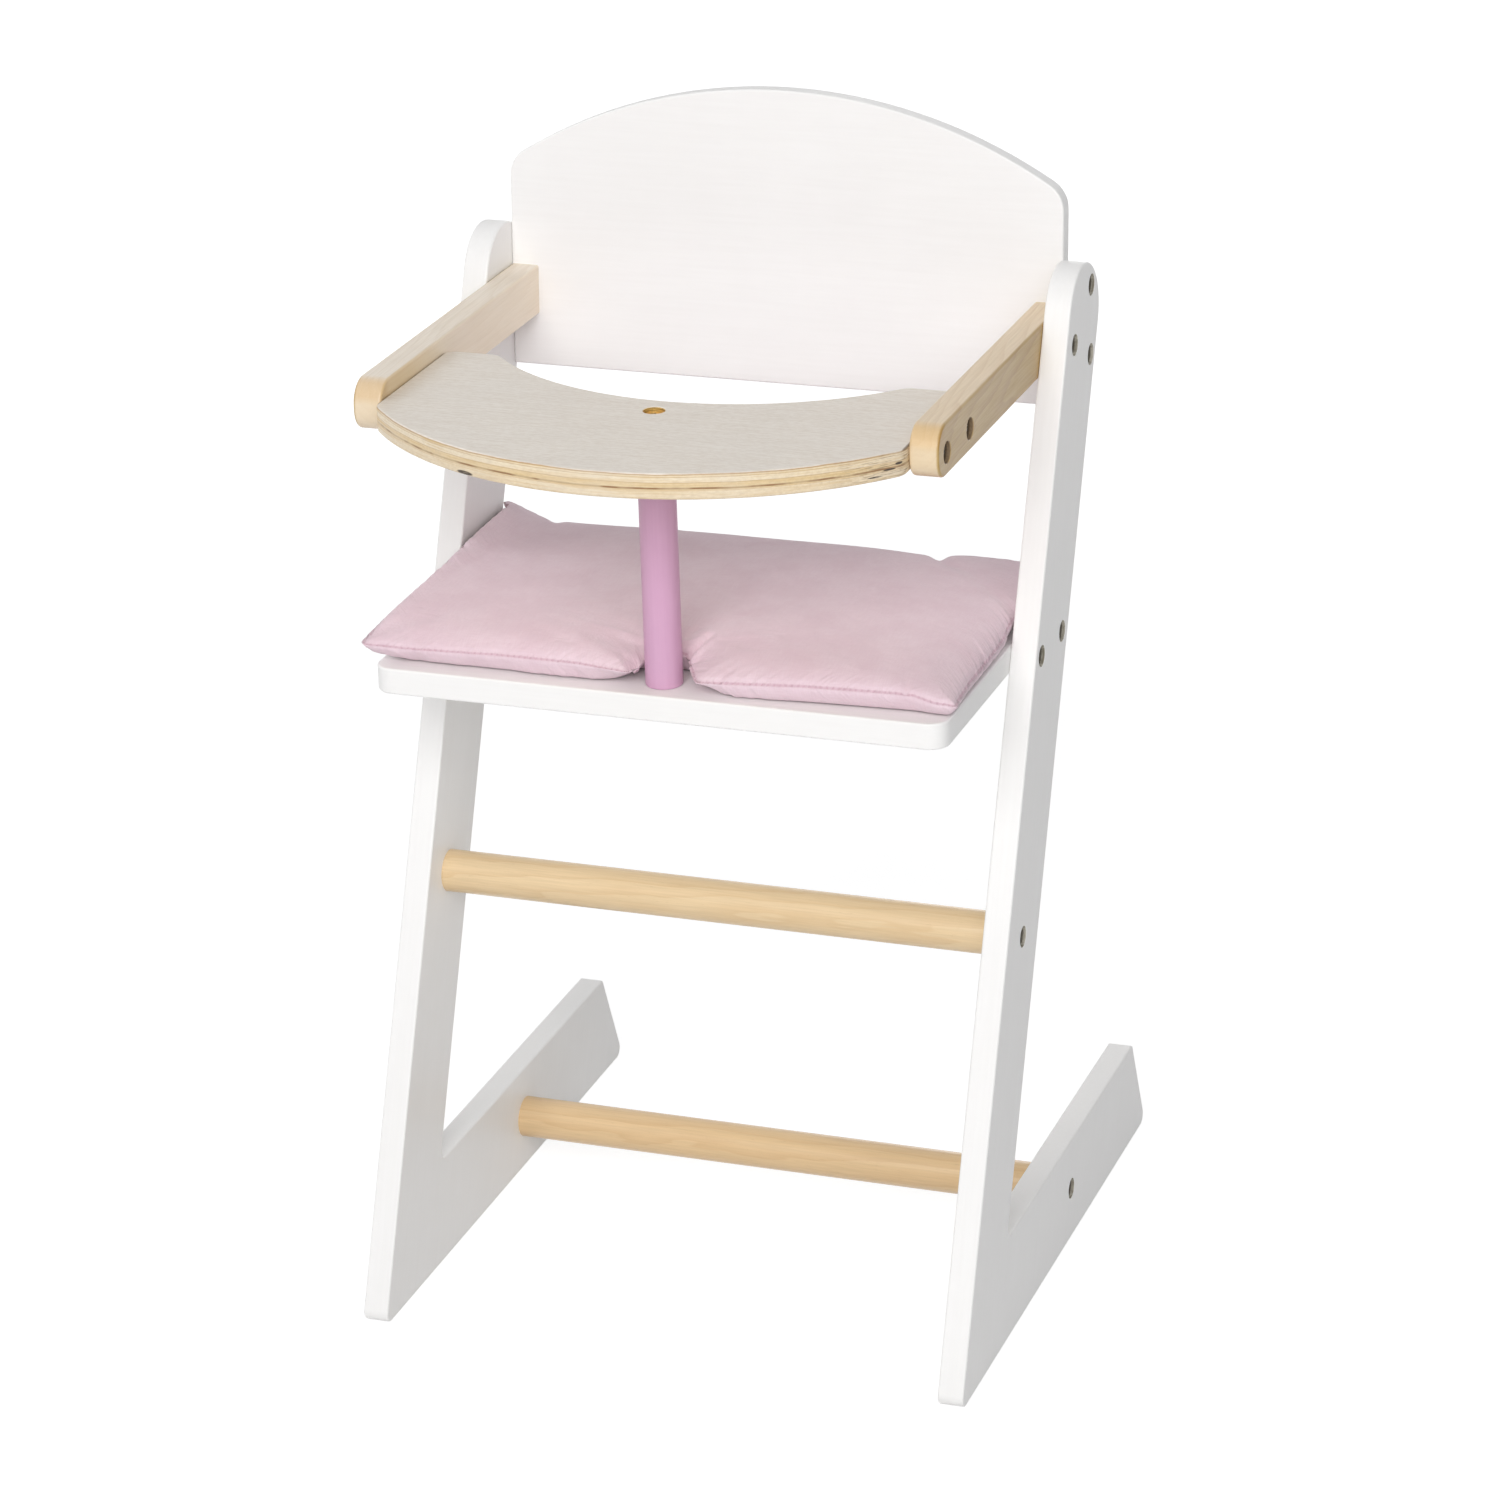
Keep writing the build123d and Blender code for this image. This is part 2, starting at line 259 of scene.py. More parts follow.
# %% [markdown]
# ### Sunk holes, spots, edges and unevenness
# Inside a screw hole the wood is bare, so a material needs to know where the holes are: a point is in
# one if it lies near enough to its centre line, which runs along X, and between the hole's mouth and
# its floor. The same holes are on both sides, so X counts without its sign. A soft spot is an oval
# round a centre that fades at its rim. The edge mask compares the surface's direction with a version
# that is rounded off a little. They differ only near an edge. The unevenness is soft noise at two
# sizes, for paint that was rolled or sprayed on and then handled.

# %% Holes, spots, edges and unevenness as groups
sunk_hole, given, out = new_group(
    "sunk hole", {"Vector": (0.0, 0.0, 0.0), "Centre": (0.0, 0.0, 0.0), "Radius": 0.0050,
                  "Inner end": 0.138, "Outer end": 0.1433}, ("Mask",))
offset = vector_calc("SUBTRACT", given["Vector"], given["Centre"])
near = vector_calc("LENGTH", vector_calc("MULTIPLY", offset, (0.0, 1.0, 1.0))) < given["Radius"]
outwards = abs(xyz(given["Vector"])[0])
feed(out["Mask"], near * ((outwards > given["Inner end"]) * (outwards < given["Outer end"])))

soft_spot, given, out = new_group(
    "soft spot", {"Vector": (0.0, 0.0, 0.0), "Centre": (0.0, 0.0, 0.0), "Size": (0.004, 0.004, 0.001)},
    ("Mask",))
offset = vector_calc("SUBTRACT", given["Vector"], given["Centre"])
feed(out["Mask"], between(vector_calc("LENGTH", vector_calc("DIVIDE", offset, given["Size"])), 1.0, 0.7))

edge_mask, given, out = new_group("edge mask", {"Radius": 0.0012}, ("Edge",))
rounded = add(edge_mask, "ShaderNodeBevel", {"Radius": given["Radius"]}, samples=6)
true_normal = add(edge_mask, "ShaderNodeNewGeometry", output="Normal")
feed(out["Edge"], between(vector_calc("DOT_PRODUCT", rounded, true_normal), 0.995, 0.90))

unevenness, given, out = new_group(
    "unevenness", {"Vector": (0.0, 0.0, 0.0), "Size": 0.02}, ("Broad", "Fine"))
often = calc("DIVIDE", 1.0, given["Size"])
feed(out["Broad"], noise(given["Vector"], often, 3.0, 0.55))
feed(out["Fine"], noise(given["Vector"], often * 14.0, 2.0, 0.5))
print("groups:", [g.name for g in bpy.data.node_groups])


# %% A new material
def new_material(name, **plain):
    """A material with one Principled shader, its plain values set on the shader's own sockets."""
    material = bpy.data.materials.new(name)
    material.use_nodes = True
    tree = material.node_tree
    shader = tree.nodes["Principled BSDF"]
    for label, value in plain.items():
        shader.inputs[label.replace("_", " ")].default_value = value
    return material, tree, shader, add(tree, "ShaderNodeTexCoord", output="Object")


def grain_along(place, axis, centre=(0.0, 0.0, 0.0), tilt=0.0):
    """Coordinates whose first axis runs along the grain: a turn about Z or Y, or a lean in the side view."""
    turns = {"X": (0.0, 0.0, 0.0), "Y": (0.0, 0.0, -math.pi / 2), "Z": (0.0, math.pi / 2, 0.0)}
    moved = vector_calc("SUBTRACT", place, centre)
    for turn in ((tilt, 0.0, 0.0), turns[axis]):
        moved = add(tree_of(moved), "ShaderNodeMapping", {"Vector": moved, "Rotation": turn},
                    vector_type="POINT")
    return moved


def in_holes(tree, place, holes, **ends):
    """1 inside sunk holes that are given by their centres, and 0 elsewhere."""
    mask = 0.0
    for y, z in holes:
        hole = use(tree, sunk_hole, Vector=place, Centre=(0.0, y, z), **ends)["Mask"]
        mask = calc("MAXIMUM", mask, hole)
    return mask


def finish(shader, colour, roughness, relief, strength, distance):
    """Let a material's colour and roughness vary, and a height over its surface tilt its normal."""
    feed(shader.inputs["Base Color"], colour)
    feed(shader.inputs["Roughness"], roughness)
    inputs = {"Height": relief, "Strength": strength, "Distance": distance}
    feed(shader.inputs["Normal"], add(shader.id_data, "ShaderNodeBump", inputs))


def paint_over(piece, material):
    """Put one material into every slot of a piece."""
    for holder in piece.material_slots:
        holder.material = material


# %% [markdown]
# ## White paint
# The boards are covered with a thin satin paint, through which the grain still shows as faint relief
# and as a very slight change of tone. One function makes the finish for each board, because the grain
# runs in a different direction on each: up the leaning legs, and from side to side on the seat and
# the backrest. The paint stops at the screw holes, which were drilled later, so bare wood shows there,
# and deeper inside a hole shade is painted near black. The holes are given by their centres in the side view.

# %% White paint on wood
leg_slope = 0.40
frame_holes = [(0.08025, 0.42119), (0.08212, 0.45274), (0.05533, 0.433), (0.00063, 0.307),
               (0.03263, 0.307), (-0.03177, 0.186), (0.04233, 0.025)]
frame_hole_shade_end = 0.1419


def white_paint(name, axis, tilt=0.0, holes=()):
    """Satin white paint over grain that runs along an axis, with bare wood in the given holes."""
    material, tree, shader, place = new_material(name, Specular_IOR_Level=0.45)
    grain = use(tree, wood_grain, Vector=grain_along(place, axis, tilt=tilt), Slant=0.05,
                Ring_width=0.009, Wobble=0.8, Fibre_width=0.0016)
    uneven = use(tree, unevenness, Vector=place, Size=0.03)
    edge = use(tree, edge_mask, Radius=0.0011)["Edge"]
    tone = grain["Fibres"] * 0.65 + uneven["Broad"] * 0.45
    colour = blend(between(tone, 0.25, 0.90), (0.885, 0.873, 0.860), (0.918, 0.909, 0.898))
    colour = blend(grain["Pores"] * 0.05, colour, (0.70, 0.66, 0.60))
    worn = edge * between(uneven["Fine"], 0.52, 0.70)
    colour = blend(worn * 0.22, colour, (0.80, 0.74, 0.64))
    bare = in_holes(tree, place, holes)
    deep = in_holes(tree, place, holes, Outer_end=frame_hole_shade_end)
    if holes:
        raw = blend(between(grain["Fibres"], 0.35, 0.65), (0.30, 0.27, 0.21), (0.66, 0.62, 0.53))
        # Deeper in each hole the colour is painted near black: painted shade.
        colour = blend(deep * 0.80, blend(bare, colour, raw), (0.085, 0.075, 0.06))
    rough = calc("MAXIMUM", between(uneven["Fine"], 0.25, 0.80, 0.36, 0.50), bare * 0.8)
    finish(shader, colour, rough, grain["Fibres"] * 0.7 + uneven["Fine"] * 0.4, 0.30, 0.00015)
    return material


side_paint = white_paint("white_paint_sides", "Z", math.atan(leg_slope), frame_holes)
for side in ("right", "left"):
    paint_over(nodes[f"{side}_side_frame"], side_paint)
board_paint = white_paint("white_paint_boards", "X")
for name in ("seat_board", "backrest_panel"):
    paint_over(nodes[name], board_paint)
print("painted:", side_paint.name, board_paint.name)

# %% [markdown]
# ## Bare wood
# Arms and rails are pale, close-grained wood under clear satin lacquer. The lacquer is a second, thin
# glossy layer over the wood, which Blender calls a coat: seen at a flat angle it mirrors the pale
# room, and so the tops of the arms look greyer than their ends. The rings are drawn a little darker
# and redder than the wood between them, and the holes again show wood without lacquer, with shade
# painted dark deeper in. On the arms, light and shade are painted into the wood's colour as well.

# %% Lacquered wood
arm_holes = [(-0.09417, 0.43125), (-0.06217, 0.43125)]
arm_hole_inner_end, arm_hole_shade_end, arm_hole_mouth = 0.1262, 0.1298, 0.1313
arm_middle_height = 0.4300


def clear_wood(name, axis, centre, pale, deep, slant, ring, pith, holes=(), nose=None):
    """Lacquered wood with rings, fibres and pores along an axis.

    With a nose, the wood is an arm's: golden end grain shows on its round front end, with a paler band
    across its middle that is a painted highlight. Its inner face is painted paler, as light, and its outer
    face darker and more golden, as shade, with stronger rings.
    """
    material, tree, shader, place = new_material(name, Coat_Weight=0.45, Coat_Roughness=0.22,
                                                 Specular_IOR_Level=0.4)
    grain = use(tree, wood_grain, Vector=grain_along(place, axis, centre), Pith=pith, Slant=slant,
                Ring_width=ring, Wobble=0.7, Fibre_width=0.0009)
    uneven = use(tree, unevenness, Vector=place, Size=0.045)
    colour = blend(between(grain["Fibres"], 0.30, 0.75), pale, [0.90 * part for part in pale])
    outer = 0.0
    if nose is not None:
        x, y, z = xyz(place)
        outer, inner = between(abs(x), 0.1300, 0.1313), between(abs(x), 0.1194, 0.1187)
    colour = blend(grain["Rings"] * (outer * 0.30 + 0.38), colour, deep)
    colour = blend(grain["Pores"] * 0.30, colour, [0.7 * part for part in deep])
    colour = blend(between(uneven["Broad"], 0.40, 0.75, 0.0, 0.16), colour, (0.70, 0.49, 0.27))
    if nose is not None:
        turned = between(y, nose + 0.0115, nose + 0.0050)
        # The paler band across the middle of the nose is a painted highlight.
        band = between(abs(z - arm_middle_height), 0.0085, 0.0040)
        end_grain_and_highlight = blend(band, (0.66, 0.44, 0.20), (0.76, 0.61, 0.41))
        # The inner face is painted paler: painted light, as the tray throws light on it.
        colour = blend(inner * 0.45, colour, (0.92, 0.78, 0.58))
        golden = inner * between(y, -0.020, -0.090, 0.0, 0.7)
        colour = blend(golden, colour, (0.76, 0.55, 0.27))
        colour = blend(turned * 0.68, colour, end_grain_and_highlight)
        # The outer face is made darker and more golden: painted shade.
        colour = blend(outer, colour, (0.60, 0.48, 0.20), "MULTIPLY")
    edge = use(tree, edge_mask, Radius=0.0010)["Edge"]
    colour = blend(edge * 0.12, colour, (0.62, 0.42, 0.22))
    bare, shaded = (in_holes(tree, place, holes, Inner_end=arm_hole_inner_end, Outer_end=end)
                    for end in (arm_hole_mouth, arm_hole_shade_end))
    if holes:
        raw = blend(grain["Fibres"], (0.16, 0.10, 0.05), (0.38, 0.27, 0.16))
        # Deeper in each hole the colour is painted dark brown: painted shade.
        colour = blend(shaded * 0.70, blend(bare, colour, raw), (0.07, 0.045, 0.025))
    rough = calc("MAXIMUM", between(grain["Fibres"], 0.2, 0.8, 0.34, 0.52), bare * 0.85)
    finish(shader, colour, rough, grain["Fibres"] * 0.5 - grain["Pores"], 0.30, 0.00012)
    return material


# The left arm's wood is set paler than the right one's: painted light, as the left arm is lit more brightly.
for side, offset, pale, deep in (("right", 0.0, (0.80, 0.635, 0.43), (0.60, 0.40, 0.215)),
                                 ("left", 0.37, (0.88, 0.775, 0.645), (0.72, 0.59, 0.44))):
    low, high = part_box(f"{side}_armrest")
    middle = (low + high) / 2 + Vector((0, offset, 0))
    wood = clear_wood(f"arm_wood_{side}", "Y", tuple(middle), pale, deep, 0.09, 0.0045,
                      (0.0, 0.028, 0.012), arm_holes, low.y)
    paint_over(nodes[f"{side}_armrest"], wood)
for name, offset, pale, deep in (("footrest_rail", 0.0, (0.80, 0.60, 0.355), (0.62, 0.40, 0.19)),
                                 ("stretcher_rail", 0.61, (0.755, 0.535, 0.295), (0.58, 0.35, 0.16))):
    low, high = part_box(name)
    middle = (low + high) / 2 + Vector((offset, 0, 0))
    wood = clear_wood(f"{name}_wood", "X", tuple(middle), pale, deep, 0.03, 0.0055, (0.0, 0.017, 0.011))
    paint_over(nodes[name], wood)
print("wooden:", [m.name for m in bpy.data.materials if "wood" in m.name])

# %% [markdown]
# ## Plywood
# The tray is glued up from thin sheets, with the grain of each across that of the next. Its top shows
# the outer sheet, and its cut edge shows all of them as stripes. The stripes depend on height alone,
# so one colour ramp from the underside to the top paints edge and faces at once, and the end grain of
# the crossed sheets is darker. A little noise keeps the glue lines from being ruler-straight. Saw
# streaks, a broken dark glue line, some torn fibres at the right and a few small gaps between the
# sheets are drawn over the stripes, a thin line of shade is painted where the tray's ends meet the
# arms, and the screw's hole in the top shines like its brass.

# %% The tray's plywood
tray_low, tray_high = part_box("tray")
post_low, post_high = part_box("safety_post")
post_middle = (post_low + post_high) / 2
tray_thickness = tray_high.z - tray_low.z
material, tree, shader, place = new_material("tray_plywood", Coat_Weight=0.40, Coat_Roughness=0.25,
                                             Specular_IOR_Level=0.4)
grain = use(tree, wood_grain, Vector=grain_along(place, "X"), Pith=(0.0, 0.0, 0.55), Slant=0.25,
            Ring_width=0.012, Wobble=1.6, Fibre_width=0.0011)
uneven = use(tree, unevenness, Vector=place, Size=0.05)
sideways, _, height = xyz(place)
sway = (noise(place, 45.0, 3.0) - 0.5) * 0.0009
share = calc("MAXIMUM", (height + sway - tray_low.z) / tray_thickness, height > tray_high.z - 0.0001)
stripes = add(tree, "ShaderNodeValToRGB", {0: share})
ramp = stripes.socket.node.color_ramp
layers = [(0.00, (0.79, 0.655, 0.46)), (0.33, (0.83, 0.695, 0.495)), (0.355, (0.68, 0.50, 0.28)),
          (0.38, (0.77, 0.61, 0.37)), (0.56, (0.75, 0.57, 0.31)), (0.62, (0.77, 0.60, 0.35)),
          (0.645, (0.58, 0.40, 0.21)), (0.67, (0.85, 0.725, 0.53)), (0.83, (0.86, 0.745, 0.555)),
          (0.855, (0.60, 0.42, 0.22)), (0.875, (0.82, 0.69, 0.48)), (0.915, (0.80, 0.66, 0.44)),
          (0.935, (0.45, 0.28, 0.14)), (0.960, (0.52, 0.35, 0.19)), (0.975, (0.835, 0.775, 0.695))]
while len(ramp.elements) < len(layers):
    ramp.elements.new(1.0)
for stop, (where, tint) in zip(ramp.elements, layers):
    stop.position, stop.color = where, rgb(*tint)
flecks = noise(place, (330.0, 900.0, 900.0), 3.0, 0.6, 0.4)
figure = grain["Fibres"] * 0.35 + flecks * 0.65
colour = blend(between(figure, 0.36, 0.66, 0.0, 0.34), stripes, (0.66, 0.58, 0.49), "MULTIPLY")
colour = blend(grain["Rings"] * 0.14, colour, (0.58, 0.49, 0.38))
colour = blend(grain["Pores"] * 0.18, colour, (0.50, 0.41, 0.31))
colour = blend(between(uneven["Broad"], 0.35, 0.75, 0.0, 0.22), colour, (0.70, 0.65, 0.59))
print("plywood sheets show in", len(layers), "ramp stops over", round(tray_thickness * 1000, 1), "mm")

# %% Marks on the tray's cut edge and in its hole
cut_edge = between(share, 0.965, 0.93)
streak = between(noise(place, (32.0, 32.0, 1300.0), 3.0, 0.6), 0.45, 0.68)
streak = streak * between(sideways, -0.03, -0.10, 0.38, 0.75)
colour = blend(cut_edge * streak, colour, (0.62, 0.42, 0.17))
glue = between(share, 0.385, 0.410) * between(share, 0.480, 0.455)
glue = glue * between(noise(place, (75.0, 75.0, 0.0)), 0.40, 0.58, 0.40, 1.0)
colour = blend(glue, colour, (0.30, 0.165, 0.07))
ragged = noise(place, (170.0, 170.0, 2400.0))
torn = between(sideways, 0.088, 0.116) * between(ragged, 0.50, 0.66, 0.0, 0.75)
colour = blend(cut_edge * torn, colour, (0.25, 0.15, 0.07))
# A thin dark line where the tray's ends meet the arms: painted shade.
painted_shade_at_arms = between(abs(sideways), 0.1173, 0.1180, 0.0, 0.8) * between(share, 0.92, 0.97)
colour = blend(painted_shade_at_arms, colour, (0.14, 0.09, 0.05))
lined = use(tree, soft_spot, Vector=place, Centre=(post_middle.x, post_middle.y, 0.0),
            Size=(0.0066, 0.0066, 9.0))["Mask"]
lined = lined * (height < tray_high.z - 0.0002)
brass = blend(between(ragged, 0.35, 0.60), (0.30, 0.19, 0.06), (0.80, 0.58, 0.22))
colour = blend(lined, colour, brass)
feed(shader.inputs["Metallic"], lined * 0.8)
gaps = [((-0.0590, -0.1566, 0.4266), (0.0056, 0.004, 0.0010)),
        ((0.1168, -0.1137, 0.4318), (0.0016, 0.003, 0.0007)),
        ((0.1139, -0.1173, 0.4299), (0.0030, 0.004, 0.0005)),
        ((0.1085, -0.1215, 0.4277), (0.0046, 0.004, 0.0004)),
        ((0.0750, 0.0, 0.4248), (0.0040, 0.5, 0.0003))]
for centre, size in gaps:
    spot = use(tree, soft_spot, Vector=place, Centre=centre, Size=size)["Mask"]
    colour = blend(spot * between(ragged, 0.28, 0.46, 0.60, 1.0), colour, (0.045, 0.028, 0.015))
finish(shader, colour, between(grain["Fibres"], 0.2, 0.8, 0.38, 0.56),
       grain["Fibres"] * 0.5 - grain["Pores"], 0.35, 0.00015)
paint_over(nodes["tray"], material)
print("gaps between the sheets:", len(gaps))

# %% [markdown]
# ## Mauve paint and metal
# The post has the same satin paint as the boards, in mauve, on wood turned on a lathe, so its grain
# runs upwards. The screws are zinc-plated steel, and the one in the tray is yellow plated. Both were
# turned and pressed, which leaves fine rings round the head: noise stretched round the screw's axis
# would need each screw's place, so plain fine noise in the roughness does the job at this size.

# %% Mauve paint
material, tree, shader, place = new_material("mauve_paint", Specular_IOR_Level=0.5)
grain = use(tree, wood_grain, Vector=grain_along(place, "Z"), Ring_width=0.006, Fibre_width=0.0015)
uneven = use(tree, unevenness, Vector=place, Size=0.02)
edge = use(tree, edge_mask, Radius=0.0010)["Edge"]
colour = blend(between(grain["Fibres"], 0.30, 0.75), (0.635, 0.360, 0.530), (0.655, 0.380, 0.550))
colour = blend(between(uneven["Broad"], 0.35, 0.70, 0.0, 0.20), colour, (0.59, 0.32, 0.49))
colour = blend(edge * 0.35, colour, (0.72, 0.47, 0.62))
finish(shader, colour, between(uneven["Fine"], 0.25, 0.80, 0.32, 0.46),
       grain["Fibres"] + uneven["Fine"], 0.30, 0.00015)
paint_over(nodes["safety_post"], material)


# %% Screws
def plated(name, clean, dull):
    """Plated metal: fine noise varies its roughness, and broader noise dulls it in places."""
    material, tree, shader, place = new_material(name, Metallic=1.0)
    uneven = use(tree, unevenness, Vector=place, Size=0.003)
    edge = use(tree, edge_mask, Radius=0.0004)["Edge"]
    colour = blend(between(uneven["Broad"], 0.35, 0.70), clean, dull)
    colour = blend(edge * 0.4, colour, [min(1.0, 1.25 * part) for part in clean])
    finish(shader, colour, between(uneven["Fine"], 0.25, 0.80, 0.24, 0.46), uneven["Fine"], 0.25, 0.00005)
    return material


# The zinc is set darker than clean plating: painted shade for heads that lie deep in their holes.
zinc = plated("zinc_plating", (0.42, 0.415, 0.395), (0.28, 0.275, 0.26))
yellow = plated("yellow_plating", (0.86, 0.66, 0.30), (0.46, 0.31, 0.11))
for name, piece in nodes.items():
    if "screw" in name:
        paint_over(piece, yellow if name == "post_top_screw" else zinc)
print("screw pieces:", sum("screw" in name for name in nodes))

# %% [markdown]
# ## The cushion's cloth pattern
# The cushion is two equal panels of cotton, sewn together round the edge, turned inside out and filled
# with a thin layer of wadding. So it is modelled the same way: first the flat pattern, with a notch in
# front for the post, then the two panels, then the filling that pushes them apart. The pattern is cut
# a little wider than the seat, because the filled cushion draws its ends in. Its corners hardly draw
# in, and that makes the pointed tips that such cushions have.

# %% The flat pattern's outline
cushion_low, cushion_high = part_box("cushion_cover")
seat_low, seat_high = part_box("seat_board")
longer_each_end, shorter_front, longer_rear = 0.0069, 0.0035, 0.0010
half_width = cushion_high.x + longer_each_end
front_line, rear_line = cushion_low.y + shorter_front, cushion_high.y + longer_rear
left_mouth, right_mouth = -0.0115, 0.0178
left_inner, right_inner, notch_end = -0.0088, 0.0060, post_middle.y + 0.0120


def rounded_outline(corners, radii, steps=6):
    """Corners of a polygon replaced by arcs.

    With unit vectors a and b from a corner to its neighbours, and half the angle between them h, the
    arc starts r / tan(h) from the corner, and its centre lies r / sin(h) away along a + b. Its points
    are a turn from the arc's first spoke to its last one.
    """
    corners, radii = np.array(corners), np.array(radii)[:, None]
    a, b = (np.roll(corners, step, 0) - corners for step in (1, -1))
    a, b = (v / np.linalg.norm(v, axis=1, keepdims=True) for v in (a, b))
    half = np.arccos(np.clip((a * b).sum(1, keepdims=True), -1, 1)) / 2
    centre = corners + (a + b) / np.linalg.norm(a + b, axis=1, keepdims=True) * radii / np.sin(half)
    first, last = (corners + v * radii / np.tan(half) - centre for v in (a, b))
    sweep = (np.pi - 2 * half)[:, None]
    share = np.linspace(0, 1, steps)[None, :, None]
    before, after = np.sin((1 - share) * sweep), np.sin(share * sweep)
    arcs = (before * first[:, None] + after * last[:, None]) / np.sin(sweep)
    return (centre[:, None] + arcs).reshape(-1, 2)


def evenly(points, spacing):
    """A closed line's points, spread evenly along it by their running length."""
    closed = np.vstack([points, points[:1]])
    run = np.concatenate([[0], np.cumsum(np.linalg.norm(np.diff(closed, axis=0), axis=1))])
    count = int(round(run[-1] / spacing))
    at = np.linspace(0, run[-1], count, endpoint=False)
    return np.stack([np.interp(at, run, closed[:, axis]) for axis in (0, 1)], 1)


corners = [(right_mouth, front_line), (half_width, front_line), (half_width, rear_line),
           (-half_width, rear_line), (-half_width, front_line), (left_mouth, front_line),
           (left_inner, notch_end), (right_inner, notch_end)]
spacing = 0.0031
outline = evenly(rounded_outline(corners, (0.004, 0.004, 0.004, 0.004, 0.003, 0.003, 0.004, 0.004)), spacing)
print("pattern:", len(outline), "points round its edge,",
      round(1000 * 2 * half_width), "by", round(1000 * (rear_line - front_line)), "mm")

# %% [markdown]
# Inside the outline, points on a honeycomb grid give cloth that bends equally well in every
# direction. A Delaunay triangulation joins them without long thin triangles. A point is kept if it is
# inside the outline and not too close to it, and the same distance to the edge later shapes the seam.

# %% Fill the pattern with points and triangles
def edge_distance(points, line):
    """For each point, its distance to a closed line, and where along the line it is nearest.

    The nearest place on the stretch from p to q is p + s (q - p), where s is the point's shadow on
    the stretch, kept between 0 and 1. The place along the line is the stretch's number plus s.
    """
    p, q = line, np.roll(line, -1, 0)
    along = q - p
    away = points[:, None] - p[None]
    s = np.clip((away * along).sum(2) / (along * along).sum(1), 0, 1)
    gap = np.linalg.norm(away - s[..., None] * along, axis=2)
    nearest = gap.argmin(1)
    return gap.min(1), nearest + s[np.arange(len(points)), nearest]


def inside(points, line):
    """True where a ray to the right crosses the closed line an odd number of times."""
    p, q = line[None], np.roll(line, -1, 0)[None]
    x, y = points[:, :1], points[:, 1:]
    spans = (p[..., 1] > y) != (q[..., 1] > y)
    with np.errstate(divide="ignore", invalid="ignore"):
        crossing = p[..., 0] + (y - p[..., 1]) * (q[..., 0] - p[..., 0]) / (q[..., 1] - p[..., 1])
    return (spans & (x < crossing)).sum(1) % 2 == 1


rows = np.arange(front_line, rear_line, spacing * math.sqrt(3) / 2)
columns = np.arange(-half_width, half_width, spacing)
grid_x, grid_y = np.meshgrid(columns, rows)
grid_x = grid_x + (np.arange(len(rows)) % 2)[:, None] * spacing / 2
grid = np.stack([grid_x.ravel(), grid_y.ravel()], 1)
grid = grid[inside(grid, outline)]
grid = grid[edge_distance(grid, outline)[0] > 0.62 * spacing]
flat = np.vstack([outline, grid])
rim = len(outline)
loop = [(i, (i + 1) % rim) for i in range(rim)]
joined = delaunay_2d_cdt([Vector(p) for p in flat.tolist()], loop, [], 1, 1e-7)
flat = np.array([tuple(v) for v in joined[0]])
triangles = np.array(joined[2])
print("one panel:", len(flat), "points,", len(triangles), "triangles")

# %% [markdown]
# Both panels use the same pattern. They share the points on the rim, which is the seam, and have
# their own points inside it. The flat coordinates are kept as a UV map: they say where each point was
# in the cloth before it was filled, so that the weave can follow the cloth.

# %% Sew two panels together
def sewn_panels(flat, triangles, rim, gap):
    """Points, triangles and cloth coordinates of two panels joined at their first points.

    Each panel starts a small gap away from the seam's plane, less so near the seam.
    """
    reach = edge_distance(flat, flat[:rim])[0]
    lift = gap * (1 - np.exp(-reach / 0.006))
    top = np.column_stack([flat, lift])
    bottom = np.column_stack([flat[rim:], -lift[rim:]])
    a, b, c = (flat[triangles[:, i]] for i in range(3))
    facing = np.cross(b - a, c - a) > 0
    upward = np.where(facing[:, None], triangles, triangles[:, ::-1])
    lower = np.where(upward < rim, upward, upward - rim + len(flat))[:, ::-1]
    return np.vstack([top, bottom]), np.vstack([upward, lower]), np.vstack([flat, flat[rim:]])


def read(items, what, width=0):
    """What a mesh stores for each of its items: one whole number, or a row of numbers of that width."""
    values = np.empty(len(items) * max(width, 1), np.float32 if width else np.int32)
    items.foreach_get(what, values)
    return values.reshape(-1, width).astype(float) if width else values


def extent(places):
    """The lowest and the highest X, Y and Z of some places, in millimetres."""
    return (places.min(0) * 1000).round(1).tolist(), (places.max(0) * 1000).round(1).tolist()


def build(name, points, faces, cloth=None):
    """A mesh object from arrays, with the cloth's flat coordinates as a UV map."""
    mesh = bpy.data.meshes.new(name)
    mesh.from_pydata(points.tolist(), [], faces.tolist())
    if cloth is not None:
        corner_points = read(mesh.loops, "vertex_index")
        mesh.uv_layers.new(name="cloth").data.foreach_set("uv", cloth[corner_points].ravel())
    mesh.polygons.foreach_set("use_smooth", np.ones(len(mesh.polygons), bool))
    piece = bpy.data.objects.new(name, mesh)
    bpy.context.scene.collection.objects.link(piece)
    return piece


points, faces, cloth = sewn_panels(flat, triangles, rim, 0.003)
cushion = build("cushion", points, faces, cloth)
print("sewn case:", len(points), "points,", len(faces), "triangles")

# %% [markdown]
# ## Fill the cushion
# The wadding presses the panels apart. Blender's cloth solver does that with an even pressure inside
# the case, and lets the cloth wrinkle along the seam, where there is more edge than the filled shape
# needs. Gravity stays off, because the seat carries the cushion.

# %% Press the panels apart
def settled(piece, frames):
    """Where a piece's points are after its cloth has moved for some frames; the cloth is then taken off."""
    scene = bpy.context.scene
    for number in range(1, frames + 1):
        scene.frame_set(number)
    shaped = piece.evaluated_get(bpy.context.evaluated_depsgraph_get()).to_mesh()
    places = read(shaped.vertices, "co", 3)
    piece.modifiers.clear()
    scene.frame_set(1)
    return places


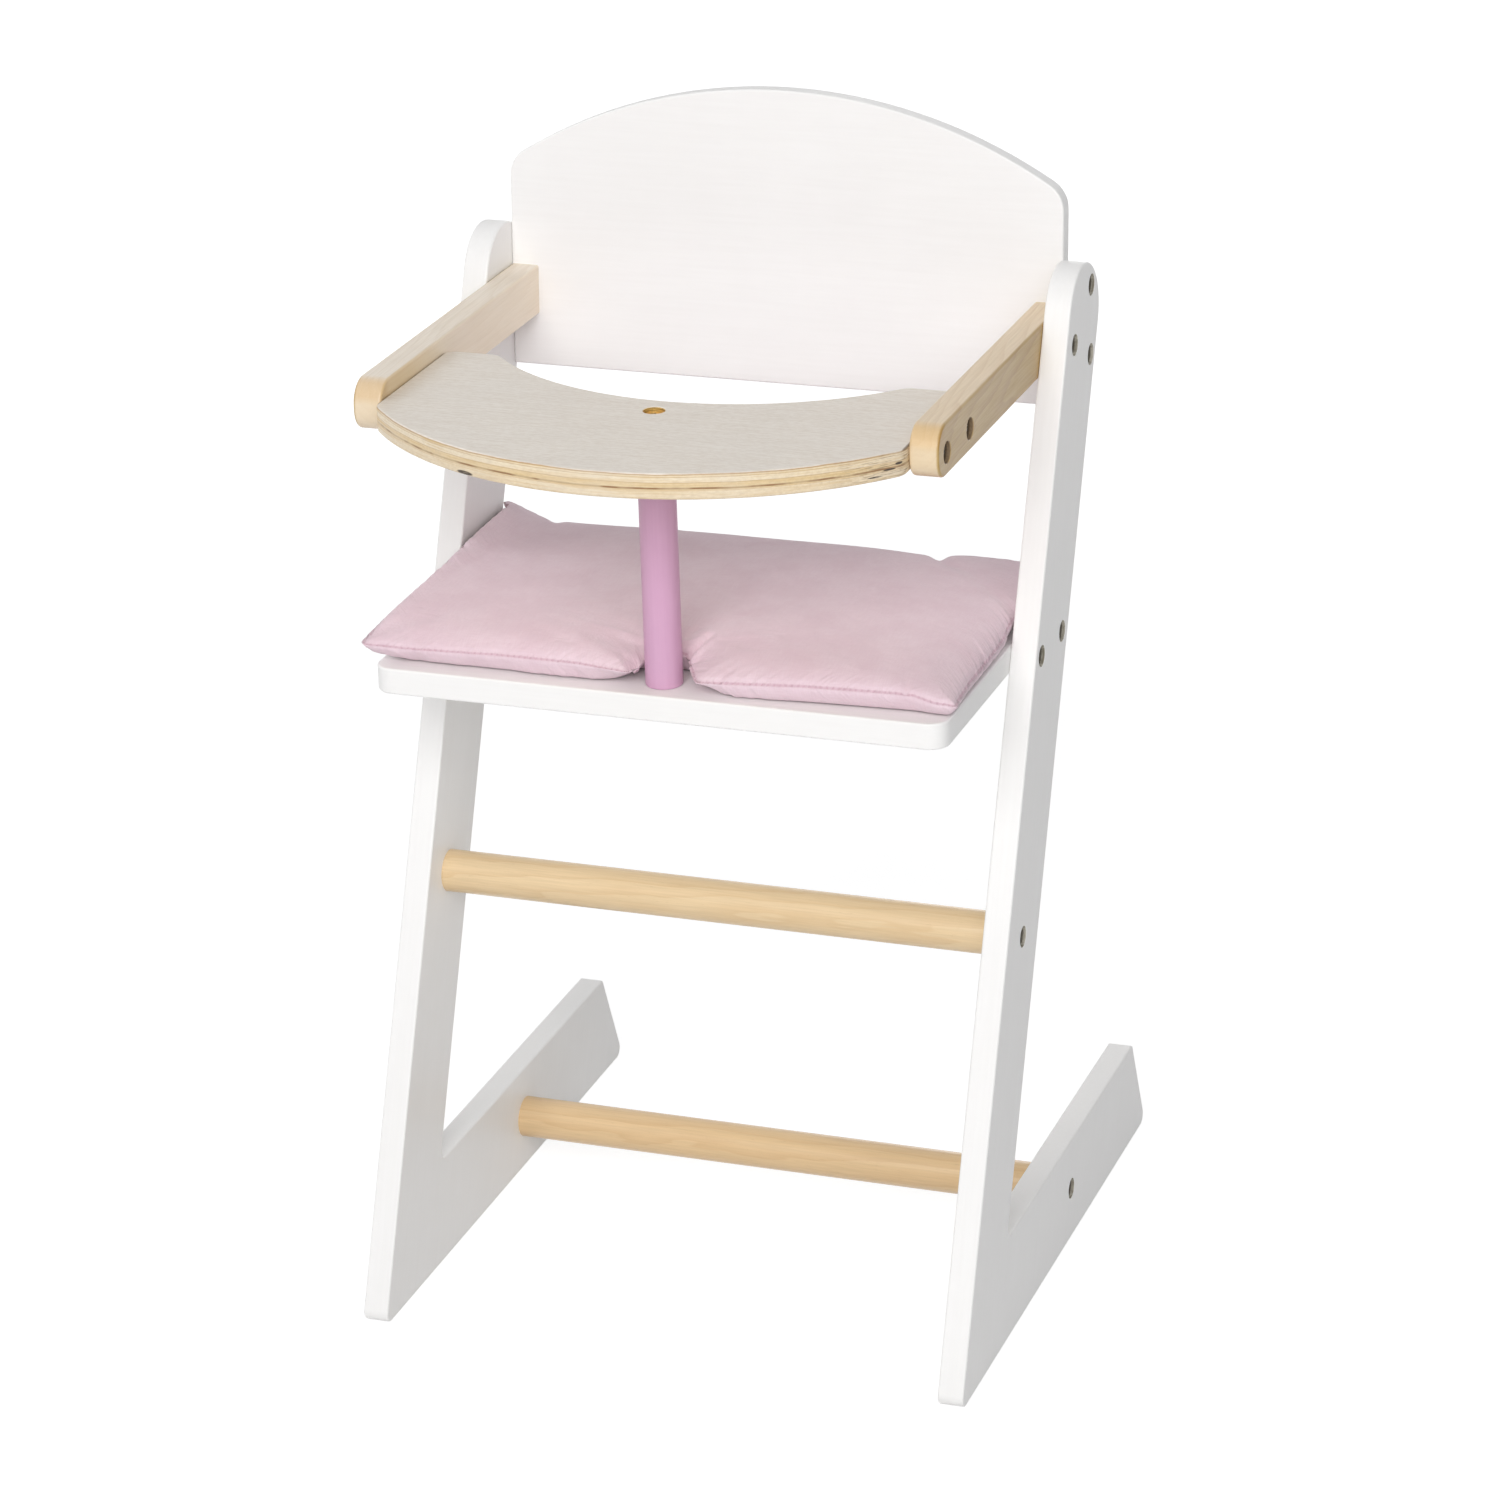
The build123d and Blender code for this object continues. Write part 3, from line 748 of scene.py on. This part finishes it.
cloth_frames = 24
case = cushion.modifiers.new("filling", "CLOTH")
case.settings.quality = 7
case.settings.mass = 0.12
case.settings.tension_stiffness = case.settings.compression_stiffness = 30
case.settings.shear_stiffness = 12
case.settings.bending_stiffness = 0.25
case.settings.use_pressure = True
case.settings.uniform_pressure_force = 4
case.settings.effector_weights.gravity = 0
case.collision_settings.use_collision = False
case.point_cache.frame_start, case.point_cache.frame_end = 1, cloth_frames
points = settled(cushion, cloth_frames)
print("filled:", extent(points))

# %% [markdown]
# ## Lead the rim to its place
# The filled case floats free, and this chair's cushion doesn't: it lies along the seat's edges, its
# left edge leans up against the side board, its front left tip sticks out over the seat, and its
# notch opens to the front from the post. So stations are set out round the seam, and the seam is led
# through them. The cloth inside follows its nearest stretch of seam, less so the farther in it lies.
# In plan, only a part of what the pressure did is kept, because a full balloon bulges out over its
# seam, and this thin cushion hardly does.

# %% Stations round the seam
stations = np.array([  # in millimetres: X, Y and height above the seat
    (17.4, -101.0, 7.2), (67.0, -100.7, 9.4), (104.0, -99.7, 10.0), (115.0, -98.9, 10.0),
    (125.5, -99.6, 7.2), (131.4, -98.6, 6.9), (135.4, -91.5, 7.0), (133.6, -70.0, 6.3), (133.2, -40.0, 6.3),
    (132.6, -16.0, 6.6), (130.8, -2.0, 8.0), (130.2, 10.0, 8.8), (130.4, 30.0, 8.4), (130.4, 50.0, 8.0),
    (129.0, 75.3, 8.0), (106.8, 77.6, 8.6), (80.5, 77.6, 7.8), (71.8, 74.0, 3.8), (63.0, 77.3, 5.8),
    (43.8, 77.6, 6.5), (0.0, 77.6, 6.4), (-44.0, 77.6, 6.0), (-94.0, 77.3, 6.3), (-108.5, 76.8, 6.2),
    (-113.5, 72.5, 4.2), (-119.0, 76.8, 8.2), (-141.5, 73.0, 17.0), (-133.2, 57.0, 20.6),
    (-131.0, 43.3, 22.2), (-131.0, 13.3, 21.6), (-131.0, -21.7, 19.5), (-132.5, -46.7, 17.8),
    (-134.5, -69.7, 15.6), (-137.0, -86.7, 12.3), (-139.2, -98.3, 9.3), (-131.5, -101.0, 8.7),
    (-120.8, -100.7, 8.2), (-74.0, -99.7, 9.2), (-37.0, -99.7, 9.3), (-10.8, -100.8, 8.8),
    (-9.3, -96.5, 8.6), (-8.9, -91.0, 8.8), (-8.8, -86.0, 8.8), (-6.5, -80.0, 9.0), (-2.5, -77.6, 9.0),
    (1.5, -76.8, 9.0), (4.9, -77.2, 9.0), (7.8, -82.4, 9.0), (9.8, -86.4, 9.0), (11.8, -90.4, 9.0),
    (14.5, -95.6, 8.3)]) / 1000
seam_height = 0.0085
follow_in_plan, follow_in_height = 0.060, 0.026  # how far in from the seam the cloth still follows it


def led_by_rim(cloth, rim, shift):
    """How far each point moves when the points of the rim do.

    It is the mean of the rim's shifts, in which each one counts with 1 / distance^3, and the
    distance is measured on the flat cloth.
    """
    apart = np.linalg.norm(cloth[:, None] - cloth[None, :rim], axis=2) + 0.0008
    weight = apart ** -3.0
    return weight @ shift / weight.sum(1, keepdims=True)


drift = points - np.column_stack([cloth, np.zeros(len(cloth))])
wave = led_by_rim(cloth, rim, drift[:rim] - drift[:rim].mean(0))
drift = drift - drift[:rim].mean(0) - wave
nearest = np.linalg.norm(outline[None] - stations[:, None, :2], axis=2).argmin(1)
offsets = np.column_stack([stations[:, :2] - outline[nearest], stations[:, 2]])
shift = np.column_stack([np.interp(np.arange(rim), nearest, offsets[:, i], period=rim) for i in range(3)])
moved = led_by_rim(cloth, rim, shift)
reach = edge_distance(cloth, outline)[0]
inward = np.exp(-(reach / follow_in_plan) ** 2)[:, None]
shape = np.column_stack([cloth + 0.25 * drift[:, :2] + moved[:, :2] * inward, drift[:, 2]])
led = np.exp(-(reach / follow_in_height) ** 2)
lift = seam_height + (moved[:, 2] - seam_height) * led + 0.2 * wave[:, 2]
print("stations:", len(stations), "largest shift:", round(1000 * np.abs(shift[:, :2]).max(), 1), "mm")

# %% [markdown]
# ## Lay the cushion on the seat
# A free balloon is also rounder than a cushion with a thin layer of wadding. So the height of each
# point above the seam's plane is passed through a curve that is straight at first and then levels
# off. The top becomes a low crown with soft hollows, steeper in front than at the back. The underside
# drops steeply to the seat and lies flat from there, so that a band of it shows under the seam.

# %% Level the crown and the underside
def level_off(height, limit):
    """Nearly the same height while it is small, and never more than the limit."""
    return height / (1 + np.abs(height / limit) ** 2.5) ** 0.4


def bulge(places, centre, size):
    """1 at a centre, falling off like a bell over a size in x and y."""
    return np.exp(-(((places[:, :2] - centre) / size) ** 2).sum(1))


def valley(places, start, end, width):
    """1 at the start of a line and 0.3 at its end, falling off like a bell to the sides and past both."""
    start, end = np.array(start), np.array(end)
    along = end - start
    s = ((places[:, :2] - start) @ along) / (along @ along)
    gap = np.linalg.norm(places[:, :2] - start - np.clip(s, 0, 1)[:, None] * along, axis=1)
    return np.exp(-(gap / width) ** 2) * (1 - 0.7 * np.clip(s, 0, 1))


def lumps(x, y):
    """Soft hollows and humps of the wadding: waves of three lengths that cross at slants."""
    return (0.0009 * np.sin(47 * x + 1.1) * np.cos(38 * y + 0.6) + 0.0006 * np.sin(83 * x - 52 * y + 2.0)
            + 0.00025 * np.sin(170 * x + 60 * y + 3 * np.sin(31 * x)) * np.cos(120 * y - 45 * x + 0.4))


above = np.maximum(shape[:, 2], 0)
below = np.minimum(shape[:, 2], 0)
steep = np.interp(shape[:, 1], (front_line, rear_line), (0.84, 0.48))
crown_height, least_crown, deepest = 0.0188, 0.0028, 0.0118
crown = np.maximum(crown_height + lumps(shape[:, 0], shape[:, 1]) - lift, least_crown)
thinner = 1 - 0.75 * bulge(shape, (0.0175, -0.1000), (0.012, 0.011))  # at the notch's two front corners
thinner = thinner - 0.6 * bulge(shape, (-0.0108, -0.1005), (0.018, 0.011))
hanging = level_off(below * 2.1, deepest) * thinner
shape[:, 2] = seat_high.z + lift + level_off(above * steep, crown) + hanging
print("laid:", extent(shape))

# %% Keep the cushion on the seat and off its neighbours
ahead_of_leg, behind_leg = 0.006, 0.058  # how far a board holds the cushion, from its leaning front edge


def keep_out(places, clear):
    """Points pushed out of the side boards, the post and the seat by a small clearance."""
    wall = seat_high.x - clear
    board_front = leg_slope * places[:, 2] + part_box("left_side_frame")[0].y
    beside = (places[:, 1] > board_front - ahead_of_leg) & (places[:, 1] < board_front + behind_leg)
    x = np.where(beside, np.clip(places[:, 0], -wall, wall), places[:, 0])
    apart = np.stack([x, places[:, 1]], 1) - (post_middle.x, post_middle.y)
    far = np.linalg.norm(apart, axis=1)
    hold = (post_high.x - post_low.x) / 2 + clear
    apart = apart * (np.maximum(far, hold) / np.maximum(far, 1e-9))[:, None]
    x, y = apart[:, 0] + post_middle.x, apart[:, 1] + post_middle.y
    on_seat = (np.abs(x) < seat_high.x + 0.001) & (y > seat_low.y) & (y < seat_high.y)
    z = np.where(on_seat, np.maximum(places[:, 2], seat_high.z + clear), places[:, 2])
    return np.stack([x, y, z], 1)


shape = keep_out(shape, 0.0005)
cushion.data.vertices.foreach_set("co", shape.ravel())
cushion.data.update()
print("on the seat:", extent(shape))

# %% [markdown]
# ### Finer cloth and the seam
# One round of subdivision splits each triangle into three faces and smooths them. On this finer mesh
# the seam is drawn in: the top panel dips in a narrow groove along the rim, and puckers a few
# millimetres long run away from it at a slant, as stitches pull on the two panels. The puckers are
# waves along the seam whose length varies, made stronger and weaker by a slower wave.

# %% Subdivide and draw in the seam
finer = cushion.modifiers.new("finer", "SUBSURF")
finer.levels = finer.render_levels = 1
smooth = bpy.data.meshes.new_from_object(cushion.evaluated_get(bpy.context.evaluated_depsgraph_get()))
cushion.modifiers.clear()
cushion.data = smooth
place, normal = read(smooth.vertices, "co", 3), read(smooth.vertex_normals, "vector", 3)
corner_points, loops_each = read(smooth.loops, "vertex_index"), read(smooth.polygons, "loop_total")
sheet = np.empty((len(place), 2))
sheet[corner_points] = read(smooth.uv_layers["cloth"].data, "uv", 2)
facing_up = np.arange(len(loops_each)) < len(loops_each) // 2

reach, around = edge_distance(sheet, outline)
run = around * spacing
on_top = np.ones(len(place), bool)
on_top[corner_points] = np.repeat(facing_up, loops_each)
slanted = run - reach
beat = (np.sin(slanted / 0.0011 + 1.7 * np.sin(run / 0.017))
        + 0.8 * np.sin(slanted / 0.0025 + 2.1 * np.sin(run / 0.031)))
strength = (0.5 + 0.5 * np.sin(run / 0.023 + 1.8 * np.sin(run / 0.041))
            + 0.4 * np.exp(-((run - 0.19) / 0.05) ** 2))
length = 0.0060 + 0.0030 * np.sin(run / 0.013 + 1.0)
pucker = 0.00038 * beat * strength * np.exp(-reach / length) * (1 - np.exp(-(reach / 0.0012) ** 2))
groove = -0.0012 * np.exp(-((reach - 0.0012) / 0.0010) ** 2) * on_top
place = place + (pucker + groove)[:, None] * normal
print("finer cloth:", len(place), "points")

# %% [markdown]
# ### Folds
# Where the case is pressed against the post and the side boards, its top folds. Each fold is a line on
# the seat's plan with a width and a depth, deepest where it starts and shallower towards its end. The
# one with a negative depth is a ridge. A wide, shallow hollow near the right end is pressed in as well.

# %% The cushion's folds and nips
folds = [((0.0070, -0.0815), (0.0137, -0.0680), 0.0017, 0.0048),
         ((0.0079, -0.0825), (0.0207, -0.0868), 0.0018, 0.0026),
         ((0.0108, -0.0815), (0.0180, -0.0705), 0.0022, -0.0020),
         ((-0.0108, -0.0965), (-0.0112, -0.0840), 0.0028, 0.0024),
         ((-0.0090, -0.0940), (-0.0240, -0.0880), 0.0030, 0.0010),
         ((0.0720, 0.0760), (0.0800, 0.0540), 0.0034, 0.0042),
         ((-0.1153, 0.0760), (-0.1080, 0.0580), 0.0032, 0.0032),
         ((-0.1330, -0.0930), (-0.1120, -0.0780), 0.0050, 0.0012),
         ((0.1310, 0.0070), (0.0950, 0.0450), 0.0045, 0.0014),
         ((0.0880, 0.0500), (0.1000, 0.0430), 0.0065, 0.0024),
         ((-0.1300, -0.0020), (-0.1240, -0.0060), 0.0020, 0.0014),
         ((-0.1310, -0.0190), (-0.1240, -0.0230), 0.0020, 0.0014),
         ((0.1125, -0.0985), (0.1105, -0.0900), 0.0014, 0.0014)]
for start, end, width, depth in folds:
    place[:, 2] -= depth * valley(place, start, end, width) * on_top
place[:, 2] -= 0.0030 * bulge(place, (0.118, 0.042), (0.020, 0.026)) * on_top
place = keep_out(place, 0.0003)
smooth.vertices.foreach_set("co", place.astype(np.float32).ravel())
smooth.polygons.foreach_set("use_smooth", np.ones(len(smooth.polygons), bool))
print("folds:", len(folds))

# %% [markdown]
# A second UV map runs along the seam: its first value is the length along it, and its second one the
# distance from it, which counts as negative on the lower panel. The cotton's material draws the
# stitches with it. Where the seam closes on itself, the faces across the joint count on past its full
# length, so that no face spans the whole seam.

# %% Coordinates along the seam
seam_length = rim * spacing
along = run[corner_points]
first = np.repeat(np.cumsum(loops_each) - loops_each, loops_each)
along = along + seam_length * np.round((along[first] - along) / seam_length)
across = reach[corner_points] * np.where(np.repeat(facing_up, loops_each), 1, -1)
seam_map = smooth.uv_layers.new(name="seam")
seam_map.data.foreach_set("uv", np.column_stack([along, across]).astype(np.float32).ravel())
smooth.update()
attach(cushion, "cushion")
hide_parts("cushion_cover", "cushion_filling")
print("cushion:", extent(place), "seam:", round(seam_length, 3), "m")

# %% [markdown]
# ### Cotton
# Plain weave is the simplest weave: each thread goes over one and under the next, both ways, like a
# chequered board of tiny bumps. The pattern is worked out from the cloth's own flat coordinates, so
# it follows every fold. Its threads differ a little in thickness and tone, and between them painted
# shade darkens the cloth a little. A soft sheen at flat angles stands for the fuzz of the cotton.
# Along the seam there are stitches and fine gathers, a dark line that is partly the stitches and
# partly painted shade in the seam's groove, and along the stretch of it that is pressed against the
# left board its shade is painted dark.

# %% Plain weave as a group
plain_weave, given, out = new_group(
    "plain weave", {"Vector": (0.0, 0.0, 0.0), "Pitch": 0.0005}, ("Height", "Tone"))
first, second = (calc("SINE", axis / given["Pitch"] * math.pi) for axis in xyz(given["Vector"])[:2])
over = first * second
slubs = noise(given["Vector"], (1900.0, 130.0, 0.0)) + noise(given["Vector"], (130.0, 1900.0, 0.0))
threads = between(over, -0.3, 0.3) * abs(first) + between(over, 0.3, -0.3) * abs(second)
feed(out["Height"], threads + slubs * 0.5)
feed(out["Tone"], slubs * 0.5)
print("group:", plain_weave.name)

# %% Pink cotton
thread_pitch, stitch_length = 0.00048, 0.0026
material, tree, shader, place = new_material("pink_cotton", Sheen_Weight=0.35, Sheen_Roughness=0.45,
                                             Sheen_Tint=rgb(1.0, 0.93, 0.95), Specular_IOR_Level=0.25)
weave = use(tree, plain_weave, Vector=add(tree, "ShaderNodeUVMap", uv_map="cloth"), Pitch=thread_pitch)
uneven = use(tree, unevenness, Vector=place, Size=0.020)
colour = blend(between(weave["Tone"], 0.30, 0.70), (0.812, 0.628, 0.695), (0.852, 0.683, 0.745))
colour = blend(between(uneven["Broad"], 0.36, 0.68, 0.0, 0.42), colour, (0.755, 0.555, 0.625))
# Where the weave is low, between the threads, the colour is darkened: painted shade.
colour = blend(between(weave["Height"], 1.1, 0.4, 0.0, 0.12), colour, (0.62, 0.41, 0.48))
seam_run, seam_side, _ = xyz(add(tree, "ShaderNodeUVMap", uv_map="seam"))
away = abs(seam_side)
stitches = between(calc("SINE", seam_run * (2 * math.pi / stitch_length)), 0.0, 0.9)
# The dark line along the seam is partly the stitches and partly painted shade in the seam's groove.
fold = between(seam_side, 0.0019, 0.0012) * between(seam_side, 0.0001, 0.0007)
colour = blend(fold * between(stitches, 0.0, 1.0, 0.34, 0.50), colour, (0.56, 0.30, 0.39))
# Along the stretch of seam pressed against the left board, its shade is painted dark.
painted_shade_at_board = between(seam_run, 0.545, 0.552) * between(seam_run, 0.670, 0.640)
painted_shade_at_board = painted_shade_at_board * between(away, 0.0017, 0.0008, 0.0, 0.75)
colour = blend(painted_shade_at_board, colour, (0.27, 0.13, 0.14))
gather_place = add(tree, "ShaderNodeCombineXYZ", {0: (seam_run - away) * 420.0, 1: away * 60.0})
gathers = noise(gather_place, 1.0) * between(away, 0.016, 0.001)
creases = noise(place, 95.0, 3.0, 0.55, 0.6)
relief = gathers * 0.00085 + creases * 0.0009 - fold * stitches * 0.0002 + weave["Height"] * 0.00004
finish(shader, colour, between(weave["Height"], 0.3, 1.4, 0.88, 0.74), relief, 0.8, 1.0)
cushion.data.materials.clear()
cushion.data.materials.append(material)
print("cotton:", material.name)

# %% [markdown]
# ## Floor and light
# The chair stands on a plain white floor that runs out of sight. The picture's background is white, but
# more light would only wash out the white paint. So the floor and the surroundings add white of
# their own just for the camera and for mirrored rays, and the floor keeps part of its real shading,
# which is where the chair's soft shadow shows. Far from the chair, where little light falls, its own
# white is stronger, so that no grey band shows at the horizon. The light itself comes from four
# square lamps of one size, the strongest in front and weaker ones on the left, on the right and low
# behind, and from an even glow all round: fronts are brightest, tops and right sides are greyer.

# %% The floor
def seen_rays(tree):
    """1 for rays that come from the camera, by a mirror or through glass, and 0 for all others."""
    rays = all_outputs(add(tree, "ShaderNodeLightPath"))
    mirrored = calc("MAXIMUM", rays["Is Glossy Ray"], rays["Is Transmission Ray"])
    return calc("MAXIMUM", rays["Is Camera Ray"], mirrored)


floor_size = 12.0
corners = np.array([(-1, -1), (1, -1), (1, 1), (-1, 1)]) * floor_size / 2
floor = build("floor", np.column_stack([corners, np.full(4, solid_box[0].z)]), np.array([[0, 1, 2, 3]]))
material = bpy.data.materials.new("white_floor")
material.use_nodes = True
tree = material.node_tree
tree.nodes.clear()
matt, shaded = (add(tree, "ShaderNodeBsdfDiffuse", {"Color": rgb(grey, grey, grey)}) for grey in (0.80, 0.36))
distance = vector_calc("LENGTH", add(tree, "ShaderNodeTexCoord", output="Object"))
own_light = between(distance, 0.5, 2.0, 0.80, 1.0)
white = add(tree, "ShaderNodeEmission", {"Color": rgb(1, 1, 1), "Strength": own_light})
lit = add(tree, "ShaderNodeAddShader", {0: shaded, 1: white})
mixed = add(tree, "ShaderNodeMixShader", {0: seen_rays(tree), 1: matt, 2: lit})
feed(tree.nodes.new("ShaderNodeOutputMaterial").inputs["Surface"], mixed)
floor.data.materials.append(material)
print("floor:", floor_size, "m wide")

# %% The surroundings
world = bpy.data.worlds.new("studio")
bpy.context.scene.world = world
world.use_nodes = True
tree = world.node_tree
tree.nodes.clear()
glow = add(tree, "ShaderNodeBackground", {"Color": rgb(0.97, 0.98, 1.0), "Strength": 0.30})
white = add(tree, "ShaderNodeBackground", {"Color": rgb(1, 1, 1), "Strength": 1.0})
mixed = add(tree, "ShaderNodeMixShader", {0: seen_rays(tree), 1: glow, 2: white})
feed(tree.nodes.new("ShaderNodeOutputWorld").inputs["Surface"], mixed)
print("world:", world.name)

# %% The lamps
target, lamp_size = Vector((0, 0, 0.27)), 1.5
for name, spot, power in (("front lamp", (0.2, -2.5, 1.7), 43), ("left lamp", (-2.0, 0.2, 2.0), 13.7),
                          ("right lamp", (1.5, -2.0, 1.7), 14.7), ("rear lamp", (0.0, 2.7, 0.45), 11.0)):
    data = bpy.data.lights.new(name, "AREA")
    data.shape, data.size, data.energy = "SQUARE", lamp_size, power
    lamp = bpy.data.objects.new(name, data)
    lamp.location = spot
    lamp.rotation_euler = (target - Vector(spot)).to_track_quat("-Z", "Y").to_euler()
    bpy.context.scene.collection.objects.link(lamp)
    print(name, power)
bpy.context.scene.view_settings.view_transform = "Standard"
